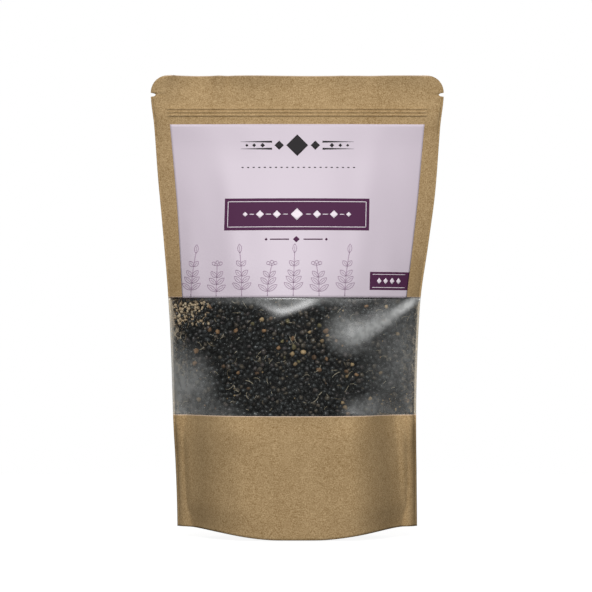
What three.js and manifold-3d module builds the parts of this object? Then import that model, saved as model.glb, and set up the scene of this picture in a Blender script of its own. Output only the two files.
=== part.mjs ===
// Stand-up pouch filled with dried elderberries.
// Kraft-paper laminate front and back, a full-width film window across the front, a folded bottom
// gusset, a press-to-close track inside the top, tear notches, a paper label and the loose fill.
// Millimetres, +Z up. The origin is on the surface that the pouch stands on, at the middle of its
// base, with the welded side seams in the plane Y = 0 and the front facing -Y.
import * as THREE from "three";
import { mergeVertices } from "three/addons/utils/BufferGeometryUtils.js";
import Module from "manifold-3d";

const wasm = await Module();
wasm.setup();

// ---- driving dimensions -------------------------------------------------------------------
const HEIGHT = 220; // flat bag, top edge to bottom edge
const SHEET = 0.6; // thickness of every laminate sheet
const GAP = 0.3; // clearance that touching pieces keep
const SEAM = GAP / 2 + SHEET; // outer face of a sheet where the bag is welded flat
const SEAL_WIDTH = 2.4; // welded strip along each side
const CORNER_RADIUS = 8; // top corners
const NOTCH_Z = 210.9; // tear notch, middle
const NOTCH_DEPTH = 2.3;
const NOTCH_HALF = 0.9;
const WINDOW_BOTTOM = 58; // film window in the front
const WINDOW_TOP = 114;
const LABEL_TOP = 196.6; // paper label, which starts at the window's top edge
const LABEL_SHARE = 0.923; // of the width between the side welds
const LABEL_THICK = 0.5;
const TRACK_Z = 202.5; // press-to-close track
const TRACK_HALF_HEIGHT = 3.8;
const TRACK_HALF_LENGTH = 60;
const LIP_OFFSET = 0.9; // the track's two lips, above and below its middle
const RIB_STEP = 1.6; // the closed track shows through the sheet as three ribs
const RIB_HEIGHT = 0.45;
const RIB_SHARE = 0.915; // of the width between the side welds
const CORNER_LIFT = 4.7; // the bottom corners stand this far off the surface
const GUSSET_LEG = 34; // from the fold to the bottom weld, along the sheet
const GUSSET_SKIRT = 6; // welded band at the foot of the front and back
const GUSSET_SHARE = 0.96; // of the width between the side welds
const BERRY = 3.2; // spacing of the berries
const BERRY_STAND = 1.1; // how far each berry stands out of the heap
const FILL_HEIGHT = 120; // top of the fill at the middle

// ---- the filled bag's form ------------------------------------------------------------------
// A smooth curve through [height, value] points, level past both ends.
function through(points) {
  const slope = points.map((p, i) => {
    const a = points[i - 1];
    const b = points[i + 1];
    if (!a || !b || (p[1] - a[1]) * (b[1] - p[1]) <= 0) return 0;
    return (b[1] - a[1]) / (b[0] - a[0]);
  });
  return (z) => {
    if (z <= points[0][0]) return points[0][1];
    const i = points.findIndex((p) => p[0] >= z);
    if (i < 0) return points[points.length - 1][1];
    const [z0, v0] = points[i - 1];
    const [z1, v1] = points[i];
    const h = z1 - z0;
    const t = (z - z0) / h;
    const s = 1 - t;
    const ends = v0 * s * s * (1 + 2 * t) + v1 * t * t * (3 - 2 * t);
    return ends + h * t * s * (slope[i - 1] * s - slope[i] * t);
  };
}

// Half width to the outer edge of the side welds. The bag draws in as its middle fills out.
const halfWidth = through([
  [0, 57.3], [43, 57.8], [86, 58.8], [115, 60.4], [139, 63.1],
  [167, 66.2], [196, 68.4], [211, 70], [220, 70],
]);
// Half depth at the middle, from the weld plane to a sheet.
const halfDepth = through([
  [0, 31.4], [35, 32], [86, 30.8], [115, 28.4], [139, 23.6], [167, 15.4],
  [190, 7], [200, 3.4], [205, 2.4], [208, 1.9], [212, 0], [220, 0],
]);
// How boxy a level's outline is: 1 is a cosine arch, less is fuller towards the welds.
const boxiness = through([
  [0, 1.12], [30, 1.05], [58, 0.92], [110, 0.92], [150, 1], [185, 0.8], [200, 0.3], [208, 0.25], [220, 0.25],
]);

const seamX = (z) => halfWidth(z) - SEAL_WIDTH;

// Share of the full depth at x: 1 in the middle, 0 at the welds.
function arch(x, z) {
  const q = Math.min(1, Math.abs(x) / seamX(z));
  return Math.pow(Math.max(0, Math.cos((Math.PI / 2) * q)), boxiness(z));
}

// Soft folds that the fill presses into the front: ridges stand out, valleys sink in.
const FRONT_FOLDS = [
  { from: [-26, 118], to: [26, 118], width: 9, height: -1.6 }, // dip under the label's lower edge
  { from: [24, 92], to: [54, 112], width: 5, height: 1.3 }, // slanting ridge at the window's right
  { from: [-52, 66], to: [-50, 92], width: 9, height: 1.0 }, // full left flank
  { from: [47, 6], to: [45, 50], width: 6, height: -1.4 }, // upright valley beside the right weld
  { from: [-49, 6], to: [-47, 50], width: 6, height: -0.8 },
];
const BACK_FOLDS = [
  { from: [-30, 128], to: [24, 118], width: 10, height: -1.5 },
  { from: [-44, 20], to: [-40, 66], width: 8, height: -1.0 },
];

function foldAt(folds, x, z) {
  let sum = 0;
  for (const { from, to, width, height } of folds) {
    const dx = to[0] - from[0];
    const dz = to[1] - from[1];
    const along = ((x - from[0]) * dx + (z - from[1]) * dz) / (dx * dx + dz * dz);
    const t = Math.min(1, Math.max(0, along));
    const distance = Math.hypot(x - from[0] - t * dx, z - from[1] - t * dz);
    sum += height * Math.exp(-((distance / width) ** 2));
  }
  return sum * Math.min(1, halfDepth(z) * arch(x, z) / 10);
}

// The closed track's three ribs, pressed through the sheet.
function ribsAt(x, z) {
  if (Math.abs(x) > RIB_SHARE * seamX(z)) return 0;
  const rib = (middle) => Math.max(0, 1 - Math.abs(z - middle) / (RIB_STEP / 2));
  return RIB_HEIGHT * (rib(TRACK_Z - RIB_STEP) + rib(TRACK_Z) + rib(TRACK_Z + RIB_STEP));
}

// Height of a sheet's bottom edge: level where it stands, lifting towards the corners.
function footLift(x) {
  const rise = (CORNER_LIFT + 0.7) * (1 - arch(x, 0)) - 0.7;
  return Math.max(0, rise);
}

// Real height of a point whose height on the flat bag is z.
const raised = (x, z) => z + footLift(x) * Math.max(0, 1 - z / 70) ** 2;

// Distance of a sheet's outer face from the weld plane. side is -1 for the front and 1 for the back.
function reach(x, z, side) {
  const folds = side < 0 ? FRONT_FOLDS : BACK_FOLDS;
  return SEAM + halfDepth(z) * arch(x, z) + foldAt(folds, x, z) + ribsAt(x, z);
}

// A point standing off a sheet's outer face by offset, along the face's outward normal.
function onSheet(x, z, side, offset) {
  const at = (a, b) => new THREE.Vector3(a, side * reach(a, b, side), raised(a, b));
  const step = 0.8;
  const acrossStep = at(x + step, z).sub(at(x - step, z));
  const upStep = at(x, Math.min(HEIGHT, z + step)).sub(at(x, Math.max(0, z - step)));
  const normal = acrossStep.cross(upStep).normalize();
  if (normal.y * side < 0) normal.negate();
  if (Math.abs(x) > seamX(z) - 0.1) normal.set(0, side, 0);
  if (z <= 0) normal.setZ(0).normalize(); // the bottom edge stays level
  return at(x, z).addScaledVector(normal, offset);
}

// ---- solids ----------------------------------------------------------------------------------
// A closed solid from two matching grids of points, outer[row][column] and inner[row][column].
function shellBetween(outer, inner) {
  const rows = outer.length;
  const columns = outer[0].length;
  const points = [...outer.flat(), ...inner.flat()];
  const index = [];
  const id = (layer, r, c) => layer * rows * columns + r * columns + c;
  const quad = (a, b, c, d) => index.push(a, b, c, a, c, d);
  for (let r = 0; r < rows - 1; r++) {
    for (let c = 0; c < columns - 1; c++) {
      for (const layer of [0, 1]) {
        const cell = [id(layer, r, c), id(layer, r, c + 1), id(layer, r + 1, c + 1), id(layer, r + 1, c)];
        if (r % 2 === 0) cell.push(cell.shift()); // each row's cells are split the other way from the last's
        if (layer) cell.reverse();
        quad(...cell);
      }
    }
  }
  for (let c = 0; c < columns - 1; c++) {
    quad(id(1, 0, c), id(1, 0, c + 1), id(0, 0, c + 1), id(0, 0, c));
    quad(id(0, rows - 1, c), id(0, rows - 1, c + 1), id(1, rows - 1, c + 1), id(1, rows - 1, c));
  }
  for (let r = 0; r < rows - 1; r++) {
    quad(id(0, r, 0), id(0, r + 1, 0), id(1, r + 1, 0), id(1, r, 0));
    const c = columns - 1;
    quad(id(1, r, c), id(1, r + 1, c), id(0, r + 1, c), id(0, r, c));
  }
  const geometry = new THREE.BufferGeometry();
  geometry.setAttribute("position", new THREE.Float32BufferAttribute(points.flatMap((p) => p.toArray()), 3));
  geometry.setIndex(index);
  return facingOut(geometry);
}

// Turns every face round if the geometry encloses a negative volume.
function facingOut(geometry) {
  const index = geometry.getIndex().array;
  const position = geometry.getAttribute("position");
  const corner = (i) => new THREE.Vector3().fromBufferAttribute(position, index[i]);
  let volume = 0;
  for (let i = 0; i < index.length; i += 3) {
    volume += corner(i).dot(corner(i + 1).cross(corner(i + 2)));
  }
  if (volume < 0) {
    for (let i = 0; i < index.length; i += 3) {
      [index[i + 1], index[i + 2]] = [index[i + 2], index[i + 1]];
    }
  }
  return geometry;
}

function toSolid(geometry) {
  const bare = geometry.clone();
  bare.deleteAttribute("normal");
  bare.deleteAttribute("uv");
  const merged = mergeVertices(bare, 1e-4);
  return new wasm.Manifold(
    new wasm.Mesh({
      numProp: 3,
      vertProperties: new Float32Array(merged.getAttribute("position").array),
      triVerts: new Uint32Array(merged.getIndex().array),
    }),
  );
}

function toGeometry(solid) {
  const { vertProperties, triVerts } = solid.getMesh();
  const geometry = new THREE.BufferGeometry();
  geometry.setAttribute("position", new THREE.BufferAttribute(vertProperties, 3));
  geometry.setIndex(new THREE.BufferAttribute(triVerts, 1));
  geometry.computeVertexNormals();
  return geometry;
}

// Columns from weld to weld, closer together towards the welds where the sheet turns.
const COLUMN_STEPS = 9;
const COLUMN_SHARES = [];
for (let i = -COLUMN_STEPS; i <= COLUMN_STEPS; i++) {
  COLUMN_SHARES.push(Math.sin((Math.PI / 2) * (i / COLUMN_STEPS)));
}

// Rows through the track's three pressed ribs.
const TRACK_ROWS = [-1.6, -1.5, -1, -0.5, 0, 0.5, 1, 1.5, 1.6].map((step) => TRACK_Z + step * RIB_STEP);
// Rows through a tear notch, and round a top corner.
const NOTCH_ROWS = [-1, -0.7, 0, 0.7, 1].map((share) => NOTCH_Z + share * NOTCH_HALF);
const CORNER_ROWS = [0.05, 0.26, 0.5, 0.71, 0.87, 0.966, 1].map((s) => HEIGHT - CORNER_RADIUS * (1 - s));

// Half width of the cut sheet: the weld edge, less the notch and the rounded corner.
function cutHalfWidth(z) {
  const notch = Math.max(0, 1 - ((z - NOTCH_Z) / NOTCH_HALF) ** 2);
  const up = Math.max(0, z - (HEIGHT - CORNER_RADIUS));
  const corner = CORNER_RADIUS - Math.sqrt(Math.max(0, CORNER_RADIUS ** 2 - up ** 2));
  return halfWidth(z) - NOTCH_DEPTH * Math.sqrt(notch) - corner;
}

// A laminate sheet from weld edge to weld edge through the given rows.
function bagSheet(rows, side) {
  const layer = (offset) =>
    rows.map((z) => {
      const cut = cutHalfWidth(z) / halfWidth(z);
      const xs = [-halfWidth(z), ...COLUMN_SHARES.map((s) => s * seamX(z)), halfWidth(z)];
      return xs.map((x) => {
        const point = onSheet(x, z, side, offset);
        point.x *= cut;
        return point;
      });
    });
  return shellBetween(layer(0), layer(-SHEET));
}

const TOP_ROWS = [...TRACK_ROWS, 207.5, ...NOTCH_ROWS, ...CORNER_ROWS];
const LOWER_ROWS = [0, 5, 11, 18, 27, 37, 47];
const UPPER_ROWS = [119, 124, 130, 138, 147, 157, 167, 177, 187, 197, ...TOP_ROWS];
const FRONT_LOWER_ROWS = [...LOWER_ROWS, WINDOW_BOTTOM - GAP / 2];
const FRONT_UPPER_ROWS = [WINDOW_TOP + GAP / 2, ...UPPER_ROWS];
const WINDOW_ROWS = [WINDOW_BOTTOM + GAP / 2, 66, 74, 82, 90, 97, 103, 108, WINDOW_TOP - GAP / 2];
const BACK_ROWS = [...LOWER_ROWS, 57, 70, 83, 95, 105, 113, ...UPPER_ROWS];

function paperLabel() {
  const rows = [WINDOW_TOP + GAP, 119, 124, 130, 138, 147, 157, 167, 177, 187, LABEL_TOP];
  const layer = (offset) =>
    rows.map((z) => COLUMN_SHARES.map((s) => onSheet(s * LABEL_SHARE * seamX(z), z, -1, offset)));
  return shellBetween(layer(GAP + LABEL_THICK), layer(GAP));
}

// ---- gusset ----------------------------------------------------------------------------------
const GUSSET_COLUMNS = COLUMN_SHARES.filter((share) => Math.abs(share) < GUSSET_SHARE);

// Middle line of the gusset's sheet at one column: up the front skirt, over the fold and down the
// back skirt.
function gussetLine(share) {
  const x = share * seamX(0);
  const skirt = (side) =>
    [0.5, GUSSET_SKIRT / 2, GUSSET_SKIRT].map((z) => onSheet(x, z, side, -GAP - 1.5 * SHEET));
  const front = skirt(-1);
  const back = skirt(1).reverse();
  const half = -front[2].y;
  const taut = Math.sqrt(Math.max(0, GUSSET_LEG ** 2 - half ** 2));
  const ridge = 4 + (taut - 4) * (1 - arch(x, 0)) * Math.sqrt(half / 30);
  const over = [-0.95, -0.84, -0.68, -0.48, -0.25, 0, 0.25, 0.48, 0.68, 0.84, 0.95].map((across) => {
    const rise = 1 - Math.abs(across);
    const turn = 0.9 * Math.min(1, rise * 12); // the sheet turns in from the skirt
    const z = front[2].z + turn + ridge * (1 - Math.abs(across) ** 1.6);
    return new THREE.Vector3(front[2].x, across * half, z);
  });
  return [...front, ...over, ...back];
}

// The line moved by offset square to itself, towards the fill.
function offsetLine(line, offset) {
  return line.map((p, i) => {
    const along = line[Math.min(line.length - 1, i + 1)].clone().sub(line[Math.max(0, i - 1)]);
    const up = new THREE.Vector3(0, -along.z, along.y).normalize();
    return p.clone().addScaledVector(up, offset);
  });
}

function bottomGusset() {
  const layer = (offset) => GUSSET_COLUMNS.map((share) => offsetLine(gussetLine(share), offset));
  return shellBetween(layer(SHEET / 2), layer(-SHEET / 2));
}

// The room below the fill: from the gusset's upper face, with clearance, down past the base.
function roomUnderFill() {
  const last = GUSSET_COLUMNS.at(-1);
  const upper = [-1.2, -1.1, ...GUSSET_COLUMNS, 1.1, 1.2].map((share) => {
    const beyond = Math.abs(share) > 1;
    const line = offsetLine(gussetLine(beyond ? Math.sign(share) * last : share), SHEET / 2 + 0.5);
    const end = line.length - 1;
    return line.map((p, i) => {
      const x = beyond ? share * seamX(0) : p.x;
      const fromEnd = Math.min(i, end - i); // the first three points at each end are the skirt
      const y = fromEnd < 3 ? Math.sign(p.y) * (40 - fromEnd) : p.y;
      return new THREE.Vector3(x, y, fromEnd < 3 ? line[3].z : p.z);
    });
  });
  const lower = upper.map((line) => line.map((p) => new THREE.Vector3(p.x, p.y, -5)));
  return shellBetween(upper, lower);
}

// ---- press-to-close track --------------------------------------------------------------------
// Both halves are drawn in section, y across the bag and z up, and run straight across it.
const FLANGE_BACK = 0.95; // outer face of each flange
const FLANGE_FACE = 0.6; // inner face
const BEAD_HALF = 0.35;
const LIP_HALF = 0.25;

function trackSolid(profile) {
  const shape = new THREE.Shape(profile.map(([y, z]) => new THREE.Vector2(y, TRACK_Z + z)));
  const geometry = new THREE.ExtrudeGeometry(shape, { depth: 2 * TRACK_HALF_LENGTH, bevelEnabled: false });
  const turn = new THREE.Matrix4().set(0, 0, 1, -TRACK_HALF_LENGTH, 1, 0, 0, 0, 0, 1, 0, 0, 0, 0, 0, 1);
  return geometry.applyMatrix4(turn);
}

function beadTrack() {
  return trackSolid([
    [-FLANGE_BACK, -TRACK_HALF_HEIGHT],
    [-FLANGE_FACE, -TRACK_HALF_HEIGHT],
    [-FLANGE_FACE, -BEAD_HALF],
    [0.25, -BEAD_HALF],
    [0.25, BEAD_HALF],
    [-FLANGE_FACE, BEAD_HALF],
    [-FLANGE_FACE, TRACK_HALF_HEIGHT],
    [-FLANGE_BACK, TRACK_HALF_HEIGHT],
  ]);
}

// The groove half carries two lips, with the bead between them.
function grooveTrack() {
  const lip = (middle) => [
    [FLANGE_FACE, middle + LIP_HALF],
    [-0.25, middle + LIP_HALF],
    [-0.25, middle - LIP_HALF],
    [FLANGE_FACE, middle - LIP_HALF],
  ];
  return trackSolid([
    [FLANGE_BACK, -TRACK_HALF_HEIGHT],
    [FLANGE_BACK, TRACK_HALF_HEIGHT],
    [FLANGE_FACE, TRACK_HALF_HEIGHT],
    ...lip(LIP_OFFSET),
    ...lip(-LIP_OFFSET),
    [FLANGE_FACE, -TRACK_HALF_HEIGHT],
  ]);
}

// ---- fill ------------------------------------------------------------------------------------
// A seeded random number generator, 0 to 1.
function seeded(seed) {
  let state = seed;
  return () => {
    state = (state * 1664525 + 1013904223) % 4294967296;
    return state / 4294967296;
  };
}

// Top of the fill at x: a low mound that falls away to the corners, further on the left.
const fillTop = (x) => FILL_HEIGHT - 4 * (x / 50) ** 2 - (x < 0 ? 16 : 5) * (x / 57) ** 4;

// Distance from the weld plane to the inside of the bag, less a clearance.
const insideReach = (x, z, side) => reach(x, z, side) - SHEET * 1.5 - 0.5;

// The heap without its berries, standing back from the front so that they cover it.
function heapCore() {
  const setBack = BERRY_STAND + 1.3;
  const levels = [0, 0.08, 0.17, 0.28, 0.4, 0.52, 0.64, 0.75, 0.85, 0.93, 1];
  const shares = COLUMN_SHARES.map((s) => s * 0.9);
  const face = (side, inset) =>
    levels.map((level) =>
      shares.map((share) => {
        const x0 = share * seamX(60);
        const z = level * (fillTop(x0) - 2);
        const x = share * seamX(z);
        const y = side * Math.max(0.6, insideReach(x, z, side) - inset);
        return new THREE.Vector3(x, y, Math.max(raised(x, z), 0.2));
      }),
    );
  return shellBetween(face(-1, setBack), face(1, 0));
}

// A slab whose outer face is a honeycomb of raised berries, one to each cell, behind the window.
function berryFace() {
  const random = seeded(11);
  const pitch = BERRY / Math.sqrt(3); // between neighbouring points of the honeycomb
  const rowStep = (pitch * Math.sqrt(3)) / 2;
  const bottom = WINDOW_BOTTOM - 4;
  const rows = Math.round((FILL_HEIGHT - bottom) / rowStep);
  const columns = 62;
  const outer = [];
  const inner = [];
  for (let r = 0; r <= rows; r++) {
    const outerRow = [];
    const innerRow = [];
    for (let c = 0; c <= columns; c++) {
      const shift = r % 2 && c > 0 && c < columns ? 0.5 : 0;
      const share = (2 * (c + shift)) / (columns + 0.5) - 1;
      const x0 = share * 0.965 * seamX(90);
      const z = bottom + ((fillTop(x0) - bottom) * r) / rows;
      const x = share * 0.965 * seamX(z);
      const edge = r === 0 || r === rows || c === 0 || c === columns;
      const berry = !edge && (c - Math.floor(r / 2) - r + 300) % 3 === 0;
      const stand = berry ? BERRY_STAND * (0.75 + 0.25 * random()) : 0;
      const dx = berry ? (random() - 0.5) * 0.5 : 0;
      const dz = berry ? (random() - 0.5) * 0.5 : 0;
      const y = Math.max(0.9, insideReach(x, z, -1) - BERRY_STAND + stand);
      outerRow.push(new THREE.Vector3(x + dx, -y, z + dz));
      innerRow.push(new THREE.Vector3(x, -Math.max(0.3, y - stand - 3), z));
    }
    outer.push(outerRow);
    inner.push(innerRow);
  }
  return shellBetween(outer, inner);
}

function berryHeap() {
  const heap = toSolid(heapCore()).subtract(toSolid(roomUnderFill()));
  return toGeometry(heap.add(toSolid(berryFace())));
}

// ---- assembly --------------------------------------------------------------------------------
const FINISHES = {
  kraft: { color: 0xa08a68, roughness: 0.85, metalness: 0 },
  film: { color: 0xd8dcdc, roughness: 0.3, metalness: 0, transparent: true, opacity: 0.3 },
  label: { color: 0xdccfda, roughness: 0.6, metalness: 0 },
  track: { color: 0xe6e4de, roughness: 0.4, metalness: 0 },
  berries: { color: 0x2a2628, roughness: 0.7, metalness: 0 },
};

const pouch = new THREE.Group();
pouch.name = "elderberry_pouch";

function addPiece(name, geometry, finish) {
  const mesh = new THREE.Mesh(geometry, new THREE.MeshStandardMaterial(FINISHES[finish]));
  mesh.name = name;
  pouch.add(mesh);
}

addPiece("front_upper_kraft", bagSheet(FRONT_UPPER_ROWS, -1), "kraft");
addPiece("window_film", bagSheet(WINDOW_ROWS, -1), "film");
addPiece("front_lower_kraft", bagSheet(FRONT_LOWER_ROWS, -1), "kraft");
addPiece("back_kraft", bagSheet(BACK_ROWS, 1), "kraft");
addPiece("bottom_gusset", bottomGusset(), "kraft");
addPiece("paper_label", paperLabel(), "label");
addPiece("zip_bead_track", beadTrack(), "track");
addPiece("zip_groove_track", grooveTrack(), "track");
addPiece("dried_berries", berryHeap(), "berries");

export default pouch;
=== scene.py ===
"""Kraft stand-up pouch of dried elderberries: sheets, film, label, loose fill and studio.

Lengths are worked out in millimetres and turned to metres as each mesh is made.
"""

import bisect
import math
import random

import bmesh
import bpy
import numpy as np
from mathutils import Matrix, Vector, noise


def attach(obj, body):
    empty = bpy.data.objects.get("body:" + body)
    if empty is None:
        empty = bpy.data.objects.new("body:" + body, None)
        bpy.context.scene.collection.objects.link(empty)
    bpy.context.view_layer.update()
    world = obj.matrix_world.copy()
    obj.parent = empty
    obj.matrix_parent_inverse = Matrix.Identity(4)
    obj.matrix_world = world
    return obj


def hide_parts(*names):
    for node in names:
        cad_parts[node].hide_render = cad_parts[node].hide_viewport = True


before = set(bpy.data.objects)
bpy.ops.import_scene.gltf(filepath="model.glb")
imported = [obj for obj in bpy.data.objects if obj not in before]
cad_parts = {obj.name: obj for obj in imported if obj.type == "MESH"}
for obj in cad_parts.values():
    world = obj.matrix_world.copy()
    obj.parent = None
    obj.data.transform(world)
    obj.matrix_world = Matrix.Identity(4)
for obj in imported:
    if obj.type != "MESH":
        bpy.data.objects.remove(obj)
SCENE = bpy.context.scene
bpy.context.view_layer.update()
MM = 0.001

# ---- camera ----
VIEW_WIDTH = 282.8  # across the picture at the side welds
VIEW_DISTANCE = 1500
VIEW_X = -0.6
VIEW_HEIGHT = 95  # of the lens
AIM_HEIGHT = 114.7
SENSOR = 36

lens = bpy.data.cameras.new("camera")
lens.sensor_width = SENSOR
lens.lens = SENSOR * VIEW_DISTANCE / VIEW_WIDTH
camera = bpy.data.objects.new("camera", lens)
camera.location = (VIEW_X * MM, -VIEW_DISTANCE * MM, VIEW_HEIGHT * MM)
aim = Vector((VIEW_X * MM, 0, AIM_HEIGHT * MM)) - camera.location
camera.rotation_euler = aim.to_track_quat("-Z", "Y").to_euler()
SCENE.collection.objects.link(camera)
SCENE.camera = camera

# ---- driving dimensions ----
FRONT, BACK = -1, 1  # side of the weld plane, which is y = 0
HEIGHT = 220  # flat bag, top edge to bottom edge
LAMINATE = 0.16
FILM = 0.08
SEAM = LAMINATE + 0.02  # outer face of a sheet where the bag is welded flat
SEAL_WIDTH = 0.9  # strip that stays flat along each side
CORNER_RADIUS = 8  # top corners
NOTCH_Z = 210.9  # tear notch, middle
NOTCH_DEPTH = 2.3
NOTCH_HALF = 0.9
WINDOW_BOTTOM = 58
WINDOW_TOP = 114
TRACK_Z = 202.5  # press-to-close track
RIB_STEP = 1.6  # the closed track shows through the sheet as three ribs
RIB_HEIGHT = 0.62
RIB_SHARE = 0.915  # of the width between the side welds
RIB_FADE = 0.02
CORNER_LIFT = 4.7  # the bottom corners stand this far off the surface
FLAT_FOOT = 9  # half width of the foot's level middle
LIFTED_FOOT = 54  # and where its lift is full
LIFT_REACH = 70  # height at which a sheet no longer follows its lifted foot
GUSSET_LEG = 34  # from the fold to the bottom weld, along the sheet
GUSSET_SKIRT = 6  # welded band at the foot of the front and back
GUSSET_INSET = -1.5 * LAMINATE - 0.02  # middle of its skirts, from a sheet's outer face


# ---- the filled bag's form ----
def through(points):
    """A smooth curve through (height, value) points, level past both ends."""
    z, v = (np.array(column, float) for column in zip(*points))
    slope = np.zeros(len(z))
    for i in range(1, len(z) - 1):
        if (v[i] - v[i - 1]) * (v[i + 1] - v[i]) > 0:
            slope[i] = (v[i + 1] - v[i - 1]) / (z[i + 1] - z[i - 1])

    def curve(height):
        height = np.clip(height, z[0], z[-1])
        i = np.clip(np.searchsorted(z, height) - 1, 0, len(z) - 2)
        span = z[i + 1] - z[i]
        t = (height - z[i]) / span
        s = 1 - t
        ends = v[i] * s * s * (1 + 2 * t) + v[i + 1] * t * t * (3 - 2 * t)
        return ends + span * t * s * (slope[i] * s - slope[i + 1] * t)

    return curve


# Half width to the outer edge of the side welds.
half_width = through(
    [
        (0, 57.3), (43, 57.8), (86, 58.8), (115, 60.4), (139, 63.1),
        (167, 66.2), (196, 68.4), (211, 70), (220, 70),
    ]
)
# From the weld plane to the middle of a sheet. Round its label the front is flatter.
half_depth = {
    FRONT: through(
        [
            (0, 31.4), (35, 32), (86, 30.8), (115, 28.3), (139, 20.4), (160, 13.2), (178, 7.8),
            (186, 5.9), (197, 3.8), (205, 2.4), (208, 1.5), (216, 0), (220, 0),
        ]
    ),
    BACK: through(
        [
            (0, 31.4), (35, 32), (86, 30.8), (115, 28.4), (139, 23.6), (167, 15.4), (190, 7),
            (200, 3.4), (205, 2.4), (208, 1.5), (216, 0), (220, 0),
        ]
    ),
}
# How boxy a level's outline is: 1 is a cosine arch, less is fuller towards the welds.
boxiness = {
    FRONT: through(
        [
            (0, 0.65), (14, 0.52), (45, 0.5), (58, 0.58), (76, 0.76), (110, 0.8), (150, 1),
            (185, 0.8), (200, 0.3), (208, 0.25), (220, 0.25),
        ]
    ),
    BACK: through(
        [
            (0, 1.12), (30, 1.05), (58, 0.92), (110, 0.92), (150, 1), (185, 0.8), (200, 0.3),
            (208, 0.25), (220, 0.25),
        ]
    ),
}


def seam_x(z):
    return half_width(z) - SEAL_WIDTH


def arch(x, z, side):
    """Share of the full depth at x: 1 in the middle, 0 at the welds."""
    q = np.minimum(1, np.abs(x) / seam_x(z))
    return np.maximum(1e-9, np.cos(math.pi / 2 * q)) ** boxiness[side](z)


def smooth_depth(x, z, side):
    """Distance of a sheet from the weld plane, before its folds."""
    return half_depth[side](z) * arch(x, z, side)


FOLDS_FULL = 10  # half depth of the bag where its folds are full
# Soft folds: (from, to, half width, height). A ridge stands out and a valley sinks in.
FRONT_FOLDS = [
    ((-26, 118), (26, 118), 9, -1.6),
    ((24, 92), (54, 112), 5, 1.3),
    ((-52, 66), (-50, 92), 9, 1.0),
    ((29, 0), (26.5, 48), 8, 2.4),
    ((49.5, 0), (47, 58), 9.5, -10.4),
    ((-27, 0), (-26, 48), 9, 2.2),
    ((-51.5, 0), (-50.5, 58), 9.5, -9.0),
]
BACK_FOLDS = [
    ((-30, 128), (24, 118), 10, -1.5),
    ((-44, 20), (-40, 66), 8, -1.0),
]
# Finer creases of the same kind, too small to be in the solids.
FRONT_CREASES = [
    ((-37, 188), (-28, 122), 6, 0.8),
    ((-52, 150), (-47, 116), 4, 0.5),
    ((45, 190), (53, 118), 6, -0.6),
    ((37, 188), (28, 122), 6, 0.8),
    ((51, 0), (47.6, 56), 1.5, -0.4),
    ((-20, 57), (20, 52), 5, -0.25),
    ((36, 58), (49, 76), 3, 0.35),
    ((-57, 60), (-44, 74), 2.5, 0.3),
    ((-56, 80), (-40, 96), 3, -0.35),
    ((-12, 100), (12, 112), 4, 0.3),
    ((-26, 118), (26, 118), 9, 0.8),
]
BACK_CREASES = [
    ((30, 196), (44, 120), 7, -0.7),
    ((-48, 180), (-36, 130), 5, 0.5),
    ((10, 100), (36, 84), 4, -0.4),
    ((40, 60), (52, 20), 3, 0.4),
    ((-20, 40), (10, 34), 6, -0.3),
]


def fold_at(folds, x, z, side):
    """Height of all the folds at a place. They die out where the bag is thin."""
    total = np.zeros(np.broadcast(x, z).shape)
    for start, end, width, height in folds:
        dx, dz = end[0] - start[0], end[1] - start[1]
        along = ((x - start[0]) * dx + (z - start[1]) * dz) / (dx * dx + dz * dz)
        t = np.clip(along, 0, 1)
        distance = np.hypot(x - start[0] - t * dx, z - start[1] - t * dz)
        total += height * np.exp(-((distance / width) ** 2))
    return total * np.minimum(1, smooth_depth(x, z, side) / FOLDS_FULL)


POCKET_X = -4.8  # the film's pocket under the label: its middle
POCKET_HALF = 14.2
POCKET_RIM = 112.9  # height of its lower edge at the sides
POCKET_DROP = 6.1  # and how far that dips at the middle
POCKET_EASE = 0.5
POCKET_SLOPE = 0.16
TURN_IN = 0.9  # how far the film turns in round the pocket's edge
TURN_LENGTH = 3


def label_pocket(x, z):
    """The film sags in under the stiff label, lowest at the middle."""
    middle = (x - POCKET_X) / POCKET_HALF
    rim = POCKET_RIM - POCKET_DROP * np.exp(-(middle**2))
    above = POCKET_EASE * np.logaddexp(0, (np.minimum(z, WINDOW_TOP) - rim) / POCKET_EASE)
    return POCKET_SLOPE * above - TURN_IN * (1 - np.exp(-above / TURN_LENGTH))


CREASE_START = np.array([57.0, 112.0])  # the film's slack crease, from its upper right corner
CREASE_END = np.array([28.5, 91.2])
CREASE_HEIGHT = 0.75
CREASE_HALF = 9


def slack_crease(x, z):
    """A crease that widens downwards: the film steps in along it and comes back on both sides."""
    run = CREASE_END - CREASE_START
    dx, dz = x - CREASE_START[0], z - CREASE_START[1]
    along = (dx * run[0] + dz * run[1]) / (run @ run)
    off = (dx * run[1] - dz * run[0]) / np.hypot(*run)
    width = 1 + 3 * np.clip(along, 0, 1) ** 1.5
    last_quarter = np.maximum(0, along - 0.75)
    ends = np.clip((along + 0.1) / 0.15, 0, 1) * np.exp(-(last_quarter**2) / 0.08)
    return -CREASE_HEIGHT * ends * np.tanh(off / width) * np.exp(-((off / CREASE_HALF) ** 2))


DENT_FADE_UP = 12  # how far the film's dents carry on above the window
DENT_FADE_DOWN = 3  # and take to grow at its bottom
DENTS_FULL = 3  # half depth of the bag where they are full


def film_dents(x, z):
    """Shape of the window film, fading into the kraft above and below it."""
    up = np.clip((WINDOW_TOP + DENT_FADE_UP - z) / DENT_FADE_UP, 0, 1)
    down = np.clip((z - WINDOW_BOTTOM) / DENT_FADE_DOWN, 0, 1)
    fade = up * down * np.minimum(1, smooth_depth(x, z, FRONT) / DENTS_FULL)
    return (label_pocket(x, z) + slack_crease(x, z)) * fade


BUCKLES_FULL = 4  # likewise for its buckles


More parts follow.
